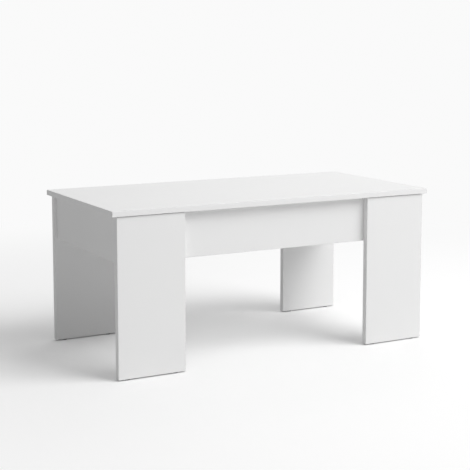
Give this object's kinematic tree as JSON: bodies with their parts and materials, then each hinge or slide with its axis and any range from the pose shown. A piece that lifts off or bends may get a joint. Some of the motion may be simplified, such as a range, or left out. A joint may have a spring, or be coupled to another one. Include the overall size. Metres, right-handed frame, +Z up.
{
  "type": "lift top coffee table",
  "caption": "White lift top coffee table: slab legs outside a storage box, with a rectangular top that lifts up and forward on sprung swing arms and stays level.",
  "frame": {"origin": "on the floor, at the middle of the table's footprint", "axes": "+X along the length to the user's right, -Y towards the user at the front, +Z up"},
  "size_m": [1, 0.5, 0.45],
  "materials": {
    "white_board": "white melamine-faced board, satin",
    "black_steel": "black powder coat",
    "zinc_steel": "zinc plated",
    "grey_glide": "grey moulded plastic",
    "grey_rubber": "dark grey rubber",
    "beech": "plain beech",
    "nylon": "natural nylon"
  },
  "bodies": {
    "base": {"front_apron": "white_board", "rear_apron": "white_board", "left_side_panel": "white_board", "right_side_panel": "white_board", "bottom_panel": "white_board", "left_front_leg": "white_board", "right_front_leg": "white_board", "left_rear_leg": "white_board", "right_rear_leg": "white_board", "leg_glides": "grey_glide", "top_bumpers": "grey_rubber", "cam_locks": "zinc_steel", "cam_bolts": "zinc_steel", "dowels": "beech", "leg_screws": "zinc_steel", "left_base_bracket": "black_steel", "right_base_bracket": "black_steel", "base_bracket_screws": "zinc_steel", "base_pivot_pins": "zinc_steel", "base_pivot_washers": "nylon", "base_spring_pins": "zinc_steel", "left_spring": "zinc_steel", "right_spring": "zinc_steel"},
    "left_rear_lift_arm": {"left_rear_arm": "black_steel", "left_arm_spring_pin": "zinc_steel"},
    "left_front_lift_arm": {"left_front_arm": "black_steel"},
    "right_front_lift_arm": {"right_front_arm": "black_steel"},
    "right_rear_lift_arm": {"right_rear_arm": "black_steel", "right_arm_spring_pin": "zinc_steel"},
    "top": {"top_board": "white_board", "left_top_bracket": "black_steel", "right_top_bracket": "black_steel", "top_bracket_screws": "zinc_steel", "top_pivot_pins": "zinc_steel", "top_pivot_washers": "nylon"}
  },
  "joints": [
    {"name": "lift", "type": "hinge", "parent": "base", "child": "left_rear_lift_arm", "pos_m": [-0.4568, 0.00165, 0.37334], "axis": [1, 0, 0], "range_deg": [0, 100], "deforming": ["left_spring"]},
    {"name": "left_front_arm_swing", "type": "hinge", "parent": "base", "child": "left_front_lift_arm", "pos_m": [-0.4568, -0.09835, 0.39734], "axis": [1, 0, 0], "range_deg": [0, 100]},
    {"name": "right_front_arm_swing", "type": "hinge", "parent": "base", "child": "right_front_lift_arm", "pos_m": [0.4568, -0.09835, 0.39734], "axis": [1, 0, 0], "range_deg": [0, 100]},
    {"name": "right_rear_arm_swing", "type": "hinge", "parent": "base", "child": "right_rear_lift_arm", "pos_m": [0.4568, 0.00165, 0.37334], "axis": [1, 0, 0], "range_deg": [0, 100], "deforming": ["right_spring"]},
    {"name": "top_leveling", "type": "hinge", "parent": "left_rear_lift_arm", "child": "top", "pos_m": [-0.4568, 0.17, 0.397], "axis": [1, 0, 0], "range_deg": [-100, 0]}
  ],
  "couplings": [
    {"joint": "left_front_arm_swing", "follows": "lift", "ratio": 1},
    {"joint": "right_front_arm_swing", "follows": "lift", "ratio": 1},
    {"joint": "right_rear_arm_swing", "follows": "lift", "ratio": 1},
    {"joint": "top_leveling", "follows": "lift", "ratio": -1}
  ]
}
